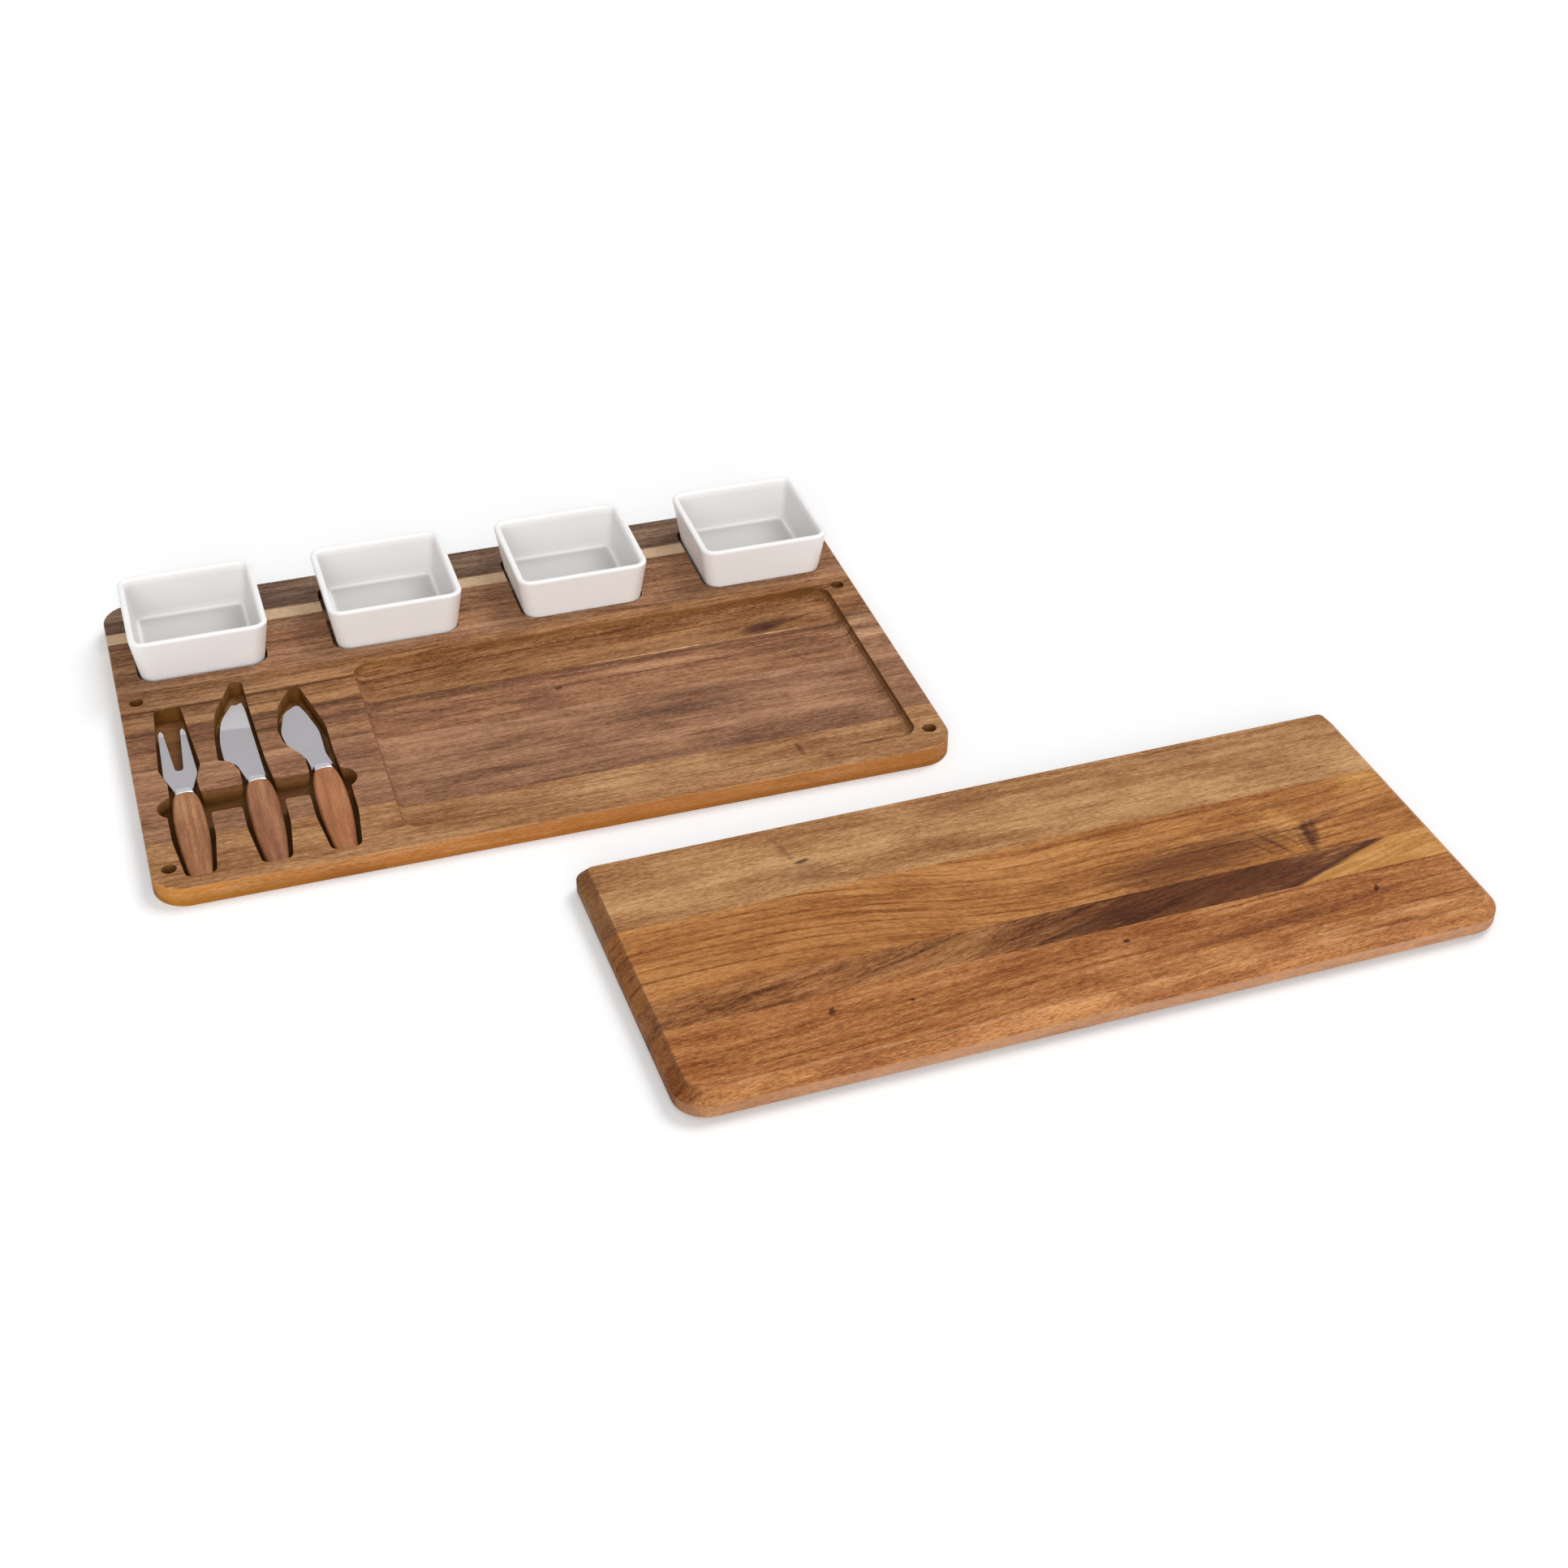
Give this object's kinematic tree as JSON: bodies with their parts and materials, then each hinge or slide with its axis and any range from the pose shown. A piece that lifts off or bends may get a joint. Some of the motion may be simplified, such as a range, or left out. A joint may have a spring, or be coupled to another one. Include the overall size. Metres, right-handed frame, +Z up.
{
  "type": "tapas board",
  "caption": "Wooden serving board with a sunk tray, square ceramic bowls in seats, cheese tools in a recess, and a wooden lid that pegs on over the tray.",
  "frame": {"origin": "centre of the base board's flat underside, on the table", "axes": "+X along the board's long side, towards the tray's end away from the tools; +Y towards the bowls; +Z up"},
  "size_m": [0.6409, 0.5132, 0.037],
  "materials": {
    "wood_base_1": "oiled, straight grain, golden brown",
    "wood_base_2": "oiled, straight grain, reddish brown",
    "wood_base_3": "oiled, straight grain, brown",
    "wood_base_4": "oiled, sweeping grain, tan brown",
    "wood_base_5": "oiled, straight grain, brown with dark streaks",
    "wood_base_6": "oiled, dark brown with a pale sapwood edge",
    "bowl_glaze": "glossy white glaze",
    "fork_steel": "satin",
    "knife_steel": "satin",
    "spreader_steel": "satin",
    "fork_polish": "polished",
    "knife_polish": "polished",
    "spreader_polish": "polished",
    "fork_wood": "oiled, dark red brown",
    "knife_wood": "oiled, dark red brown",
    "spreader_wood": "oiled, dark red brown",
    "wood_lid_1": "oiled, orange brown with small knots",
    "wood_lid_2": "oiled, dark heartwood running into pale sapwood",
    "wood_lid_3": "oiled, orange brown with sweeping grain",
    "wood_lid_4": "oiled, pale tan with a knot",
    "wood_pegs": "bare dowel"
  },
  "bodies": {
    "base": {"base_stave_1": "wood_base_1", "base_stave_2": "wood_base_2", "base_stave_3": "wood_base_3", "base_stave_4": "wood_base_4", "base_stave_5": "wood_base_5", "base_stave_6": "wood_base_6"},
    "bowl_1": {"bowl_1": "bowl_glaze"},
    "bowl_2": {"bowl_2": "bowl_glaze"},
    "bowl_3": {"bowl_3": "bowl_glaze"},
    "bowl_4": {"bowl_4": "bowl_glaze"},
    "fork": {"fork_blade": "fork_steel", "fork_collar": "fork_polish", "fork_handle": "fork_wood"},
    "knife": {"knife_blade": "knife_steel", "knife_collar": "knife_polish", "knife_handle": "knife_wood"},
    "spreader": {"spreader_blade": "spreader_steel", "spreader_collar": "spreader_polish", "spreader_handle": "spreader_wood"},
    "lid": {"lid_stave_1": "wood_lid_1", "lid_stave_2": "wood_lid_2", "lid_stave_3": "wood_lid_3", "lid_stave_4": "wood_lid_4", "lid_peg_1": "wood_pegs", "lid_peg_2": "wood_pegs", "lid_peg_3": "wood_pegs", "lid_peg_4": "wood_pegs"}
  },
  "joints": [
    {"name": "bowl_1_lift", "type": "slide", "parent": "base", "child": "bowl_1", "axis": [0, 0, 1], "range_m": [0, 0.05]},
    {"name": "bowl_2_lift", "type": "slide", "parent": "base", "child": "bowl_2", "axis": [0, 0, 1], "range_m": [0, 0.05]},
    {"name": "bowl_3_lift", "type": "slide", "parent": "base", "child": "bowl_3", "axis": [0, 0, 1], "range_m": [0, 0.05]},
    {"name": "bowl_4_lift", "type": "slide", "parent": "base", "child": "bowl_4", "axis": [0, 0, 1], "range_m": [0, 0.05]},
    {"name": "fork_lift", "type": "slide", "parent": "base", "child": "fork", "axis": [0, 0, 1], "range_m": [0, 0.05]},
    {"name": "knife_lift", "type": "slide", "parent": "base", "child": "knife", "axis": [0, 0, 1], "range_m": [0, 0.05]},
    {"name": "spreader_lift", "type": "slide", "parent": "base", "child": "spreader", "axis": [0, 0, 1], "range_m": [0, 0.05]},
    {"name": "lid_lift", "type": "slide", "parent": "base", "child": "lid", "axis": [0, 0, 1], "range_m": [0, 0.06]}
  ]
}
